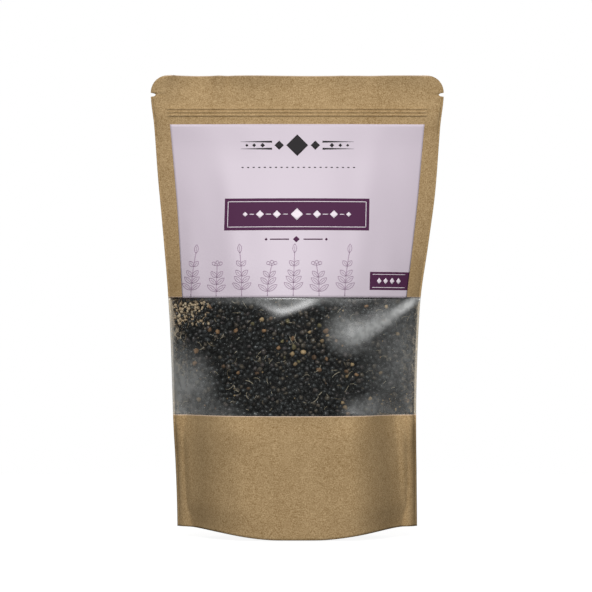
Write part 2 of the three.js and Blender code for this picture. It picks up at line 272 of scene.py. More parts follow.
def buckle(x, z, side):
    """Slight unevenness that a stiff sheet keeps when it is filled by hand: long shallow waves
    that cross."""
    seed = 1.7 * side
    waves = (
        0.10 * np.sin(x / 5.3 + 0.6 * np.sin(z / 17 + seed) + seed)
        + 0.08 * np.sin(z / 6.1 + 0.9 * np.sin(x / 15 - seed))
        + 0.06 * np.sin((x + 0.7 * z) / 3.9 + seed)
    )
    return waves * np.minimum(1, smooth_depth(x, z, side) / BUCKLES_FULL)


WELD_FOLD = 6  # width of the strip beside a weld that folds back low down
WELD_LEAN = 4.4  # how far its edge folds back
WELD_FOLD_TOP = 54
WELD_FOLD_EASE = 14  # below its top, to where it is full
BAND_FOOT = 206  # the flat top band waves above this height

# Waves of the top band: place along it, half width, and how far its top edge leans out.
BAND_WAVES = [
    (0, 300, 1.2), (-62, 7, 2.2), (-47, 8, -2.2), (-37.6, 2, 1.5), (-33.4, 2, -1.2), (-22, 9, 1.3),
    (7, 13, -1.8), (21, 1.6, 0.8), (35, 4, -1.2), (52, 12, 1.2),
]


def sway(x, z):
    """Lean of the parts that move front and back together: the flat top band, and the side welds
    low down, which fold back."""
    waves = sum(-height * np.exp(-(((x - at) / width) ** 2)) for at, width, height in BAND_WAVES)
    beyond = np.maximum(0, np.abs(x) - seam_x(z) + WELD_FOLD) / WELD_FOLD
    folded = WELD_LEAN * beyond**1.5 * np.clip((WELD_FOLD_TOP - z) / WELD_FOLD_EASE, 0, 1)
    return np.clip((z - BAND_FOOT) / (HEIGHT - BAND_FOOT), 0, 1) ** 1.3 * waves + folded


def ribs(x, z):
    """The closed track's ridges, pressed through the sheet and fading at its ends."""
    q = np.abs(x) / seam_x(z)
    fade = np.clip((RIB_SHARE - q) / RIB_FADE, 0, 1)
    total = np.zeros(np.broadcast(x, z).shape)
    for k in (-1, 0, 1):
        away = np.abs(z - TRACK_Z - k * RIB_STEP) / (RIB_STEP / 2)
        total += np.maximum(0, 1 - away**2)
    return RIB_HEIGHT * fade * total


def foot_lift(x):
    """Height of a sheet's bottom edge: level where it stands, lifting to the corners."""
    t = np.clip((np.abs(x) - FLAT_FOOT) / (LIFTED_FOOT - FLAT_FOOT), 0, 1)
    return CORNER_LIFT * t * t * (3 - 2 * t)


def raised(x, z):
    """Real height of a point whose height on the flat bag is z."""
    return z + foot_lift(x) * np.maximum(0, 1 - z / LIFT_REACH) ** 2


# The filled bag stands a little to one side round its window.
lean = through([(0, 0), (28, -0.4), (60, -1.3), (108, -1.4), (140, -0.5), (165, 0), (HEIGHT, 0)])


def reach(x, z, side):
    """Distance of a sheet's outer face from the weld plane."""
    folds = FRONT_FOLDS + FRONT_CREASES if side == FRONT else BACK_FOLDS + BACK_CREASES
    bulge = SEAM + smooth_depth(x, z, side) + fold_at(folds, x, z, side)
    if side == FRONT:
        bulge = bulge + film_dents(x, z)
    return bulge + buckle(x, z, side) + ribs(x, z)


def on_sheet(x, z, side, offset=0.0):
    """Points standing off a sheet's outer face by offset, along its outward normal."""

    def at(a, b):
        return np.stack([a, side * reach(a, b, side) + sway(a, b), raised(a, b)], -1)

    x, z = np.broadcast_arrays(np.asarray(x, float), np.asarray(z, float))
    step = 0.4
    across = at(x + step, z) - at(x - step, z)
    up = at(x, np.minimum(HEIGHT, z + step)) - at(x, np.maximum(0, z - step))
    normal = np.cross(across, up)
    normal[..., 0] *= np.abs(x) < seam_x(z) - 0.1
    normal *= np.sign(normal[..., 1:2]) * side
    normal /= np.linalg.norm(normal, axis=-1, keepdims=True)
    return at(x, z) + offset * normal


# ---- materials ----
def rgb(hex_code):
    """An sRGB hex value as linear red, green, blue and alpha."""
    srgb = [int(hex_code[i : i + 2], 16) / 255 for i in (1, 3, 5)]
    return [c / 12.92 if c <= 0.04045 else ((c + 0.055) / 1.055) ** 2.4 for c in srgb] + [1]


def add(tree, kind, inputs=None, **settings):
    """Adds a node, with its settings and with its inputs set to values or linked to outputs."""
    node = tree.nodes.new(kind)
    for key, value in settings.items():
        setattr(node, key, value)
    for key, value in (inputs or {}).items():
        if isinstance(value, bpy.types.NodeSocket):
            tree.links.new(value, node.inputs[key])
        else:
            node.inputs[key].default_value = value
    return node


def new_material(name):
    """A material and its bare node tree."""
    made = bpy.data.materials.new(name)
    made.use_nodes = True
    made.node_tree.nodes.clear()
    return made, made.node_tree


def finish_with(
    tree, inputs, kind="ShaderNodeBsdfPrincipled", output="ShaderNodeOutputMaterial"
):
    """Adds the last shader and the output it feeds."""
    add(tree, output, {"Surface": add(tree, kind, inputs).outputs[0]})


def per_mm(size):
    """Texture scale, in cells to the metre, for a cell of this many millimetres."""
    return 1000 / size


def object_place(tree):
    return add(tree, "ShaderNodeTexCoord").outputs["Object"]


def uneven(tree, size, detail, place=None, **more):
    """Cloudy grey with features of this many millimetres."""
    place = object_place(tree) if place is None else place
    inputs = {"Vector": place, "Scale": per_mm(size), "Detail": detail, **more}
    return add(tree, "ShaderNodeTexNoise", inputs).outputs["Fac"]


def relief(tree, height, strength, distance):
    """Normals of a relief as high as a distance in millimetres."""
    inputs = {"Height": height, "Strength": strength, "Distance": distance * MM}
    return add(tree, "ShaderNodeBump", inputs).outputs[0]


def worked(tree, operation, first, second, **settings):
    """The result of a sum on two values."""
    inputs = {0: first, 1: second}
    return add(tree, "ShaderNodeMath", inputs, operation=operation, **settings).outputs[0]


def ramp(tree, factor, stops):
    """Colours along a factor, from (position, hex code or grey) stops."""
    node = add(tree, "ShaderNodeValToRGB", {"Fac": factor})
    elements = node.color_ramp.elements
    while len(elements) < len(stops):
        elements.new(0.5)
    for element, (position, value) in zip(elements, stops):
        element.position = position
        element.color = rgb(value) if isinstance(value, str) else (value, value, value, 1)
    return node.outputs["Color"]


def mixed(tree, factor, first, second):
    """A value part way from one to another."""
    inputs = {"Factor": factor, "A": first, "B": second}
    return add(tree, "ShaderNodeMix", inputs, data_type="FLOAT").outputs["Result"]


CLOUD, FLECK, GRAIN = 22, 2.2, 0.5  # sizes of the paper's unevenness
FIBRE_WIDTH = 0.4  # a real fibre is finer than a hair, so it is drawn wide enough to show
FIBRE_LENGTH = 1.6


def kraft_paper(name, light, dark):
    """Unbleached kraft paper over a plastic liner: brown wood fibres pressed flat and
    calendered, so the eye sees a matt brown, finely speckled and a little cloudy."""
    made, tree = new_material(name)
    cloud, fleck, grain = (uneven(tree, size, 2.0, Roughness=0.6) for size in (CLOUD, FLECK, GRAIN))
    fibres = []
    for turn in (0.6, -0.9):
        stretch = (FIBRE_WIDTH / FIBRE_LENGTH, 1, 1)
        inputs = {"Vector": object_place(tree), "Rotation": (0, turn, 0), "Scale": stretch}
        lie = add(tree, "ShaderNodeMapping", inputs).outputs[0]
        fibres.append(uneven(tree, FIBRE_WIDTH, 1.0, lie))
    tone = mixed(tree, 0.3, grain, mixed(tree, 0.5, *fibres))
    tone = mixed(tree, 0.12, tone, fleck)
    tone = mixed(tree, 0.1, tone, cloud)
    inputs = {
        "Base Color": ramp(tree, tone, [(0.38, dark), (0.62, light)]),
        "Roughness": 0.85,
        "Specular IOR Level": 0.06,
        "Normal": relief(tree, grain, 0.2, 0.1),
    }
    finish_with(tree, inputs)
    return made


def pale_liner(name, colour):
    """The laminate's polyethylene liner over bare paper: a thin light line along a cut edge, and
    a warm pale ground where the inside of the bag shows between the berries."""
    made, tree = new_material(name)
    inputs = {"Base Color": rgb(colour), "Roughness": 0.6}
    finish_with(tree, inputs)
    return made


def soft_spot(tree, place, centre, size, turn, strength):
    """A soft-edged patch on the front, by its middle (x, z), half sizes and turn."""
    inputs = {0: place, 1: (centre[0] * MM, 0, centre[1] * MM)}
    moved = add(tree, "ShaderNodeVectorMath", inputs, operation="SUBTRACT").outputs[0]
    lie = add(tree, "ShaderNodeMapping", {"Vector": moved, "Rotation": (0, turn, 0)}).outputs[0]
    inputs = {0: lie, 1: (per_mm(size[0]), 0, per_mm(size[1]))}
    sized = add(tree, "ShaderNodeVectorMath", inputs, operation="MULTIPLY").outputs[0]
    far = add(tree, "ShaderNodeVectorMath", {0: sized}, operation="LENGTH").outputs["Value"]
    inputs = {"Value": far, "From Min": 1.0, "From Max": 0.0, "To Max": strength}
    return add(tree, "ShaderNodeMapRange", inputs, interpolation_type="SMOOTHSTEP").outputs[0]


# Milky patches on the film: dust and bloom where it stands off the fill or is dusted by it, and
# painted highlights and reflections where it would catch the lights: middle, half sizes, turn,
# milkiness.
DUST_AND_PAINTED_SHINE = [
    ((-61, 71), (27, 27), 0.35, 0.47),
    ((-44, 56), (24, 14), 0.0, 0.15),
    ((68, 84), (44, 56), 0.0, 0.3),
    ((35, 61), (18, 9), 0.1, 0.28),
    ((24, 97), (15, 13), -0.3, 0.33),
    # These two patches are a painted highlight along the film's slack crease.
    ((39, 101.6), (22, 5.5), 0.58, 0.62),
    ((52.5, 110.4), (11, 3.4), 0.53, 1.1),
    # A painted reflection along the film's top edge, under the label.
    ((-6, 115), (56, 7), 0.0, 0.28),
    ((-61, 88), (4, 34), 0.0, 0.5),
    ((61, 88), (4, 34), 0.0, 0.5),
]
BARE_MILK = 0.01  # milkiness of the film away from the patches
VEIL = 16  # size of the patches' slow unevenness
TOUCH = 2.4  # of the marks where berries touch the film
RIPPLE = 7  # and of the film's own slight waves


def clear_film():
    """Cast polypropylene film: clear and glossy, with a faint milky bloom where the fill has rubbed
    dust on it and painted highlights and reflections in white patches, so the berries show through
    under soft grey reflections."""
    made, tree = new_material("clear polypropylene film")
    place = object_place(tree)
    milk_and_shine = BARE_MILK
    # Each patch adds white: dust on the film, or a painted highlight or reflection.
    for spot in DUST_AND_PAINTED_SHINE:
        milk_and_shine = worked(tree, "ADD", milk_and_shine, soft_spot(tree, place, *spot))
    veil = ramp(tree, uneven(tree, VEIL, 3.0, place), [(0.25, 0.72), (0.75, 1.0)])
    touch = ramp(tree, uneven(tree, TOUCH, 1.0, place), [(0.4, 0.66), (0.6, 1.0)])
    milk_and_shine = worked(tree, "MULTIPLY", worked(tree, "MULTIPLY", milk_and_shine, veil), touch, use_clamp=True)
    clear = add(tree, "ShaderNodeBsdfTransparent", {"Color": rgb("#fafbfb")})
    haze_and_shine = add(tree, "ShaderNodeBsdfPrincipled", {"Base Color": rgb("#c6c7c6"), "Roughness": 0.7})
    normal = relief(tree, uneven(tree, RIPPLE, 2.0, place), 0.15, 0.3)
    inputs = {"Color": rgb("#ffffff"), "Roughness": 0.3, "Normal": normal}
    gloss = add(tree, "ShaderNodeBsdfAnisotropic", inputs, distribution="BECKMANN")
    # The outer face stands for both, so its index is higher than the plastic's own 1.5.
    fresnel = add(tree, "ShaderNodeFresnel", {"IOR": 1.7}).outputs[0]
    inside = add(tree, "ShaderNodeNewGeometry").outputs["Backfacing"]
    inputs = {"Fac": milk_and_shine, 1: clear.outputs[0], 2: haze_and_shine.outputs[0]}
    body = add(tree, "ShaderNodeMixShader", inputs)
    shine = mixed(tree, inside, fresnel, 0.0)
    inputs = {"Fac": shine, 1: body.outputs[0], 2: gloss.outputs[0]}
    finish_with(tree, inputs, "ShaderNodeMixShader")
    return made


def coated_paper(name, colour, rough):
    """Machine-coated label paper, offset printed: an even, faintly satin colour with almost no
    grain."""
    made, tree = new_material(name)
    normal = relief(tree, uneven(tree, GRAIN, 2.0), 0.12, 0.05)
    inputs = {"Base Color": rgb(colour), "Roughness": rough, "Normal": normal}
    finish_with(tree, inputs)
    return made


WRINKLE = 0.9  # spacing of the folds in a dried berry's skin


def dried_skin(name, stops, rough):
    """Dried berry skin: a wrinkled, waxy hide, so each berry is a little lighter or darker than
    the next and catches small glints on its folds."""
    made, tree = new_material(name)
    each = add(tree, "ShaderNodeNewGeometry").outputs["Random Per Island"]
    fold = uneven(tree, WRINKLE, 3.0)
    inputs = {
        "Base Color": ramp(tree, mixed(tree, 0.18, each, fold), stops),
        "Roughness": rough,
        "Normal": relief(tree, fold, 0.4, 0.2),
    }
    finish_with(tree, inputs)
    return made


FLOW = 4  # size of the faint clouds in the extruded plastic


def polyethylene():
    """Extruded polyethylene of the press-to-close track: milky and waxy."""
    made, tree = new_material("milky polyethylene")
    colour = ramp(tree, uneven(tree, FLOW, 2.0), [(0.3, "#d9d6cc"), (0.7, "#e8e6df")])
    inputs = {"Base Color": colour, "Roughness": 0.4, "IOR": 1.51}
    finish_with(tree, inputs)
    return made


KRAFT = kraft_paper("kraft paper laminate", "#bfa47c", "#896e48")
EDGE = pale_liner("cut laminate edge", "#cdb49c")
LINING = pale_liner("pale liner inside the bag", "#e4d0b4")
CLEAR = clear_film()
LILAC = coated_paper("lilac coated label paper", "#ccc0cb", 0.52)
PLUM = coated_paper("plum ink on label paper", "#491b41", 0.8)
MAUVE = coated_paper("mauve line print", "#a892a6", 0.5)
SOOT = coated_paper("black line print", "#1c181b", 0.75)
PALE = coated_paper("pale line print", "#e6dbe4", 0.5)
MILKY = polyethylene()
BLACK_SKIN = dried_skin(
    "dried elderberry skin",
    [
        (0.15, "#171716"), (0.3, "#262625"), (0.4, "#313334"), (0.5, "#252625"),
        (0.6, "#353534"), (0.68, "#393d3e"), (0.77, "#463e3d"), (0.85, "#524a3f"),
    ],
    0.36,
)
RUSSET_SKIN = dried_skin("unripe russet berry skin", [(0.2, "#5a4430"), (0.8, "#93704e")], 0.6)
TAN_SKIN = dried_skin("dry tan berry skin", [(0.2, "#7d6748"), (0.8, "#b59a72")], 0.65)
# Pale chaff, used only where it paints light into the window's upper left corner.
CHAFF_AS_PAINTED_LIGHT = dried_skin("pale dry chaff", [(0.2, "#b49c7d"), (0.8, "#cfbb9d")], 0.7)
OLIVE_SKIN = dried_skin("olive green berry skin", [(0.2, "#45402a"), (0.8, "#7a6f4a")], 0.6)
STRAW = dried_skin("dry straw stalk", [(0.2, "#a39478"), (0.8, "#ddd0b6")], 0.7)


# ---- meshes ----
def make_piece(name, points, faces, materials, replaces=()):
    """A piece from points in millimetres, riding on the bag and leaning with it."""
    points = np.array(points, float)
    points[:, 0] += lean(points[:, 2])
    mesh = bpy.data.meshes.new(name)
    mesh.from_pydata((points * MM).tolist(), [], faces)
    for material in materials:
        mesh.materials.append(material)
    mesh.polygons.foreach_set("use_smooth", [True] * len(mesh.polygons))
    mesh.update()
    piece = bpy.data.objects.new(name, mesh)
    SCENE.collection.objects.link(piece)
    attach(piece, "root")
    if replaces:
        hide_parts(*replaces)
    return piece


def grid_faces(rows, columns, flip=False):
    """Faces between neighbouring points of a grid, flipped to turn them inside out."""
    faces = []
    for r in range(rows - 1):
        for c in range(columns - 1):
            a = r * columns + c
            face = (a, a + 1, a + columns + 1, a + columns)
            faces.append(face[::-1] if flip else face)
    return faces


def thicken(piece, thickness, rim=0, lining=0):
    """Gives a sheet its thickness, inwards from its outer face, and the slots of the materials
    on its cut edge and its inner face."""
    solid = piece.modifiers.new("thickness", "SOLIDIFY")
    solid.thickness = thickness * MM
    solid.offset = -1
    solid.material_offset_rim = rim
    solid.material_offset = lining
    return solid


ROW_STEP = 1.2  # between the rows of a sheet, where nothing asks for finer ones
RIB_BAND = 3.2  # half height of the band with fine rows
RIB_ROW_STEP = 0.2
EDGE_BAND = 0.35  # how far the pale liner shows beside a cut


def eased(count):
    """Shares from -1 to 1, closer together towards both ends."""
    return np.sin(np.linspace(-1, 1, count) * math.pi / 2)


COLUMNS = eased(121)  # from weld to weld, closer at the welds, where the sheet turns
TOP_CORNER = HEIGHT - CORNER_RADIUS + CORNER_RADIUS * np.sin(np.linspace(0, math.pi / 2, 12))
NOTCH_ROWS = NOTCH_Z + NOTCH_HALF * eased(9)
RIB_ROWS = np.arange(TRACK_Z - RIB_BAND, TRACK_Z + RIB_BAND + 0.01, RIB_ROW_STEP)
CUTS = (WINDOW_BOTTOM, WINDOW_TOP, HEIGHT)
CUT_ROWS = np.array([WINDOW_BOTTOM - EDGE_BAND, WINDOW_TOP + EDGE_BAND, HEIGHT - EDGE_BAND])


def cut_half_width(z):
    """Half width of the cut sheet: the weld edge, less the notch and the rounded corner."""
    notch = np.sqrt(np.maximum(0, 1 - ((z - NOTCH_Z) / NOTCH_HALF) ** 2))
    up = np.maximum(0, z - (HEIGHT - CORNER_RADIUS))
    corner = CORNER_RADIUS - np.sqrt(np.maximum(0, CORNER_RADIUS**2 - up**2))
    return half_width(z) - NOTCH_DEPTH * notch - corner


def bag_rows(bottom, top):
    """Even row heights, with those that the ribs, notches, corners and cuts need."""
    even = np.linspace(bottom, top, max(2, round((top - bottom) / ROW_STEP)) + 1)
    special = np.concatenate([RIB_ROWS, NOTCH_ROWS, TOP_CORNER, CUT_ROWS])
    special = special[(special > bottom) & (special < top)]
    if len(special):
        gap = np.abs(even[:, None] - special[None, :]).min(1)
        even = even[(gap > ROW_STEP / 4) | (even == bottom) | (even == top)]
    rows = np.unique(np.concatenate([even, special]).round(4))
    return rows[np.append(True, np.diff(rows) > 0.02)]


CUT_MARGIN = 12  # width of the edge strip that draws in at the notches and rounded corners


def bag_sheet(name, bottom, top, side, material, node, offset=0.0, thickness=LAMINATE):
    """A sheet from weld edge to weld edge between two heights."""
    rows = bag_rows(bottom, top)
    z = rows[:, None]
    band = np.linspace(0, 1, 5)[1:] * SEAL_WIDTH
    x = np.concatenate([-seam_x(z) - band[::-1], COLUMNS * seam_x(z), seam_x(z) + band], axis=1)
    z = z + 0 * x
    points = on_sheet(x, z, side, offset)
    inner = half_width(z) - CUT_MARGIN
    beyond = np.maximum(0, np.abs(points[..., 0]) - inner)
    points[..., 0] -= np.sign(x) * beyond * (1 - (cut_half_width(z) - inner) / CUT_MARGIN)
    faces = grid_faces(*x.shape, flip=side == BACK)
    piece = make_piece(name, points.reshape(-1, 3), faces, [material, EDGE, LINING], [node])
    if material is KRAFT and side == FRONT:
        middle = np.repeat((rows[1:] + rows[:-1]) / 2, x.shape[1] - 1)
        near = np.abs(middle[:, None] - CUTS).min(1) < EDGE_BAND
        piece.data.polygons.foreach_set("material_index", near.astype(int))
    lined = int(material is KRAFT)
    thicken(piece, thickness, rim=lined, lining=2 * lined)


FILM_GAP = 0.05  # between the film's edges and the kraft's
FILM_INSET = -0.04  # of the film's outer face from the kraft's

bag_sheet(
    "front_kraft_above_window", WINDOW_TOP, HEIGHT, FRONT, KRAFT, "front_upper_kraft"
)
bag_sheet(
    "front_kraft_below_window", 0, WINDOW_BOTTOM, FRONT, KRAFT, "front_lower_kraft"
)
bag_sheet("back_kraft_sheet", 0, HEIGHT, BACK, KRAFT, "back_kraft")
bag_sheet(
    "window_film_sheet", WINDOW_BOTTOM + FILM_GAP, WINDOW_TOP - FILM_GAP, FRONT, CLEAR,
    "window_film", offset=FILM_INSET, thickness=FILM,
)

GUSSET_LOW = 4  # height of the gusset's middle where it spans the whole depth
GUSSET_WIDE = 30  # half depth of the bag there
GUSSET_BEND = 0.9  # how far it rises as it leaves a skirt


def gusset_height(half, x, across):
    """Height of the gusset above the top of its skirts, at a share across from front to back.
    The narrower the bag, the steeper the sheet folds up."""
    rise = np.sqrt(np.maximum(0, GUSSET_LEG**2 - half**2)) - GUSSET_LOW
    ridge = GUSSET_LOW + rise * (1 - arch(x, 0 * x, FRONT)) * np.sqrt(half / GUSSET_WIDE)
    turn = GUSSET_BEND * np.minimum(1, 12 * (1 - np.abs(across)))
    return turn + ridge * (1 - np.abs(across) ** 1.6)


def gusset_span(x):
    """Middle, half span and foot height of the gusset at x, between its front and back skirts."""
    front = on_sheet(x, GUSSET_SKIRT, FRONT, GUSSET_INSET)
    back = on_sheet(x, GUSSET_SKIRT, BACK, GUSSET_INSET)
    return (back[..., 1] + front[..., 1]) / 2, (back[..., 1] - front[..., 1]) / 2, front[..., 2]


def bottom_gusset():
    """The folded sheet under the fill, with a welded skirt up the foot of the front and back."""
    x = COLUMNS[np.abs(COLUMNS) < 0.97] * seam_x(0.0)
    heights = np.linspace(0.4, GUSSET_SKIRT, 5)
    front = on_sheet(x[None, :], heights[:, None], FRONT, GUSSET_INSET)
    back = on_sheet(x[None, :], heights[::-1, None], BACK, GUSSET_INSET)
    middle, half, foot = gusset_span(x)
    across = eased(45)[1:-1, None]
    low = foot + gusset_height(half, x, across)
    over = np.stack([front[-1, :, 0] + 0 * across, middle + across * half, low], -1)
    points = np.concatenate([front, over, back])
    faces = grid_faces(*points.shape[:2])
    piece = make_piece(
        "folded_bottom_gusset", points.reshape(-1, 3), faces, [KRAFT, EDGE],
        ["bottom_gusset"],
    )
    thicken(piece, LAMINATE, rim=1).offset = 0


bottom_gusset()
for track in ("zip_bead_track", "zip_groove_track"):
    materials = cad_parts[track].data.materials
    materials.clear()
    materials.append(MILKY)

# ---- label ----
LABEL_BOTTOM = WINDOW_TOP - 0.3
LABEL_TOP = 196.6
LABEL_HALF = 53.3  # at its bottom edge
LABEL_FLARE = 0.09  # lean of its side edges
LABEL_THICK = 0.12
LABEL_FACE = LABEL_THICK + 0.02  # of the label's outer face over the kraft
INK_THICK = 0.03
INK_FACE = LABEL_FACE + INK_THICK + 0.01
INK_WIDTH = 0.3
INK_STEP = 0.8  # between points of a ruled stroke
BAR_HALF = 34.3  # plum bar
BAR_BOTTOM = 145.5
BAR_TOP = 160.8
PATCH_LEFT = 35.3  # plum patch in the lower right corner
PATCH_BOTTOM = 117.3
PATCH_TOP = 125.9


def label_edge(z):
    return LABEL_HALF + LABEL_FLARE * (z - LABEL_BOTTOM)


def spaced(knots, step):
    """Positions about step apart that hit every knot."""
    runs = [
        np.linspace(a, b, max(1, round((b - a) / step)) + 1)[:-1] for a, b in zip(knots, knots[1:])
    ]
    return np.append(np.concatenate(runs), knots[-1])


def paper_label():
    """The label, with its plum bar and patch as printed areas of the same sheet."""
    levels = [LABEL_BOTTOM, PATCH_BOTTOM, PATCH_TOP, BAR_BOTTOM, BAR_TOP, LABEL_TOP]
    rows = spaced(levels, ROW_STEP)
    knots = (-1, -0.5, 0.5, 0.52, 1)  # columns share out between the edges, the bar and the patch
    share = spaced(knots, 0.02)
    ends = [(-e, -BAR_HALF, BAR_HALF, PATCH_LEFT, e) for e in label_edge(rows)]
    x = np.stack([np.interp(share, knots, end) for end in ends])
    z = rows[:, None] + 0 * x
    points = on_sheet(x, z, FRONT, LABEL_FACE).reshape(-1, 3)
    faces = grid_faces(*x.shape)
    piece = make_piece("paper_label_sheet", points, faces, [LILAC, PLUM], ["paper_label"])
    mid_z = ((z[:-1, :-1] + z[1:, 1:]) / 2).ravel()
    mid_x = ((x[:-1, :-1] + x[1:, 1:]) / 2).ravel()
    bar = (abs(mid_x) < BAR_HALF) & (mid_z > BAR_BOTTOM) & (mid_z < BAR_TOP)
    patch = (mid_x > PATCH_LEFT) & (mid_z > PATCH_BOTTOM) & (mid_z < PATCH_TOP)
    piece.data.polygons.foreach_set("material_index", (bar | patch).astype(int))
    thicken(piece, LABEL_THICK)


def ink_piece(name, strokes, material):
    """Printed strokes as one thin layer on the label. A stroke is a list of points (x, z) with
    the ink's width at each."""
    points, faces = [], []
    for path, widths in strokes:
        path = np.array(path, float)
        widths = np.broadcast_to(widths, len(path))
        along = np.gradient(path, axis=0)
        along /= np.maximum(1e-9, np.linalg.norm(along, axis=1, keepdims=True))
        side = np.stack([-along[:, 1], along[:, 0]], 1)
        lanes = 2 + int(max(widths) / 1.5)
        share = np.linspace(-0.5, 0.5, lanes)
        flat = path[None] + share[:, None, None] * (side * widths[:, None])[None]
        start = len(points)
        points.extend(on_sheet(flat[..., 0], flat[..., 1], FRONT, INK_FACE).reshape(-1, 3))
        grid = grid_faces(lanes, len(path), flip=True)
        faces.extend([tuple(start + i for i in face) for face in grid])
    thicken(make_piece(name, points, faces, [material]), INK_THICK)


def line(start, end, width):
    """A straight ruled stroke."""
    count = max(2, int(math.dist(start, end) / INK_STEP) + 1)
    path = np.linspace(start, end, count)
    return path, np.full(count, float(width))


def lozenge(x, z, half_long, half_high):
    """A filled diamond lying along the label."""
    path = np.linspace((x - half_long, z), (x + half_long, z), 9)
    return path, 2 * half_high * (1 - np.abs(np.linspace(-1, 1, 9))) + 0.02


def taper(x0, x1, z, width):
    """A rule that thins to nothing at its far end."""
    count = 16
    return np.linspace((x0, z), (x1, z), count), np.linspace(width, 0.08, count)


def leaf(x, z, angle, length, width):
    """Outline and midrib of one pointed leaf, from its stalk end."""
    t = np.linspace(0, 1, 9)
    bow = width / 2 * np.sin(math.pi * t) ** 0.8
    axis = np.array([math.sin(angle), math.cos(angle)])
    normal = np.array([axis[1], -axis[0]])
    spine = np.array([x, z]) + t[:, None] * length * axis
    edges = [(spine + side * bow[:, None] * normal, INK_WIDTH) for side in (1, -1)]
    return edges + [(spine[:7], INK_WIDTH * 0.8)]


def sprig(x, foot, height, bend, buds):
    """A plain upright sprig: paired leaves up a bent stalk, ending in a leaf or three buds."""
    t = np.linspace(0, 1, 14)
    stalk = np.stack([x + bend * t**2, foot + height * t], 1)
    strokes = [(stalk, INK_WIDTH * 1.2)]
    pairs = 4 if height > 17 else 3
    for k in range(pairs):
        at = stalk[2 + round(k * 9 / pairs)]
        length = 5.4 - 0.7 * k
        for side in (1, -1):
            strokes += leaf(at[0], at[1], side * (0.95 - 0.08 * k), length, 2.0)
    tip = stalk[-1]
    if not buds:
        return strokes + leaf(tip[0], tip[1], bend * 0.05, 4.2, 1.9)
    for side in (-1, 0, 1):
        bud = np.array([tip[0] + 1.7 * side, tip[1] + 1.6 - 0.5 * abs(side)])
        turn = np.linspace(0, 2 * math.pi, 13)
        ring = bud + 0.75 * np.stack([np.sin(turn), np.cos(turn)], 1)
        strokes += [(ring, INK_WIDTH), line(tip, bud - (0, 0.75), INK_WIDTH)]
    return strokes


DIVIDER_Z = 186.4
DASHES_Z = 175.7
DASHES = 21
DASH_STEP = 2.65
PLUM_Z = 141.2
BAR_MARGIN = 1.6  # to its ruled frame
SPRIGS = 7
SPRIG_STEP = 12.1
FIRST_SPRIG = -49  # middle of the one on the left


def divider_print():
    """A large diamond between smaller ones and tapered rules, over a dashed line."""
    strokes = [lozenge(0, DIVIDER_Z, 5.2, 5.2)]
    for side in (-1, 1):
        strokes += [lozenge(side * 8.6, DIVIDER_Z, 2.2, 2.2)]
        strokes += [taper(side * 12.0, side * 27.0, DIVIDER_Z + rise, 0.9) for rise in (1.7, -1.7)]
        for x, size in ((16.5, 1.1), (20.5, 0.9), (24.0, 0.7)):
            strokes += [lozenge(side * x, DIVIDER_Z, size, size)]
    for k in range(DASHES):
        x = DASH_STEP * (k - (DASHES - 1) / 2)
        strokes += [line((x, DASHES_Z), (x + 1, DASHES_Z), 0.45)]
    ink_piece("label_divider_print", strokes, SOOT)


def plum_print():
    """A small diamond between two rules, under the bar."""
    strokes = [lozenge(0, PLUM_Z, 1.6, 1.5)]
    for side in (-1, 1):
        strokes += [line((side * 3.4, PLUM_Z), (side * 12.4, PLUM_Z), 0.55)]
        strokes += [lozenge(side * 14.2, PLUM_Z, 0.7, 0.7)]
    ink_piece("label_plum_print", strokes, PLUM)


def pale_print():
    """A ruled frame and a row of diamonds on the bar, and four diamonds on the patch."""
    left, right = BAR_MARGIN - BAR_HALF, BAR_HALF - BAR_MARGIN
    bottom, top = BAR_BOTTOM + BAR_MARGIN, BAR_TOP - BAR_MARGIN
    corners = [(left, bottom), (right, bottom), (right, top), (left, top)]
    strokes = [line(a, b, 0.32) for a, b in zip(corners, corners[1:] + corners[:1])]
    middle = (BAR_BOTTOM + BAR_TOP) / 2
    strokes += [lozenge(0, middle, 2.9, 2.9)]
    for side in (-1, 1):
        for x, size in ((9.5, 1.9), (17.5, 1.9), (24.5, 1.2)):
            strokes += [lozenge(side * x, middle, size, size)]
        for start, end in ((4.3, 6.6), (12.2, 14.8), (20.3, 22.4)):
            strokes += [line((side * start, middle), (side * end, middle), 0.4)]
    middle = (PATCH_BOTTOM + PATCH_TOP) / 2
    right = label_edge(middle) - BAR_MARGIN
    strokes += [lozenge(PATCH_LEFT + 4.5 + 3.1 * k, middle, 1.1, 1.5) for k in range(4)]
    for z in (middle - 3.1, middle + 3.1):
        strokes += [line((PATCH_LEFT + 1.2, z), (right, z), 0.28)]
    ink_piece("label_pale_print", strokes, PALE)


def border_print():
    """A border of tall and short sprigs by turns, up to the patch."""
    strokes = []
    for k in range(SPRIGS):
        tall = k % 2 == 0
        x = FIRST_SPRIG + SPRIG_STEP * k
        bend = 1.6 - 3.2 * (k % 3) / 2
        strokes += sprig(x, LABEL_BOTTOM + 0.6, 20.5 if tall else 14.5, bend, buds=not tall)
    ink_piece("label_border_print", strokes, MAUVE)


paper_label()
divider_print()
plum_print()
pale_print()
border_print()

# ---- fill ----
FILL_HEIGHT = 120
FILL_HALF = 57  # half width of the fill's top
BERRY_RADIUS = (1.15, 1.65)
CRUMB = 0.4  # radius of the smallest crumb of a berry
BALL_RADII = (0.2, CRUMB, 0.6, 0.8, 1.0, 1.2, 1.45, 1.65)  # sizes of ball fitted to the bag
CLEARANCE = 0.06  # between the fill and the sheets
DEEPER = 2.4  # from the film to berries that need only a plain shape
DEEPEST = 5.5
NESTING = 0.8  # share of its radius at which a dried berry meets a neighbour
GRID_STEP = 0.25


def fill_top(x):
    """Top of the fill: a low mound that falls away to the corners, further on the left."""
    return FILL_HEIGHT - 4 * (x / 50) ** 2 - (20 if x < 0 else 5) * (x / FILL_HALF) ** 4


def inner_face(x, z, side):
    """Distance from the weld plane to the inside of the bag."""
    return reach(x, z, side) - LAMINATE - CLEARANCE


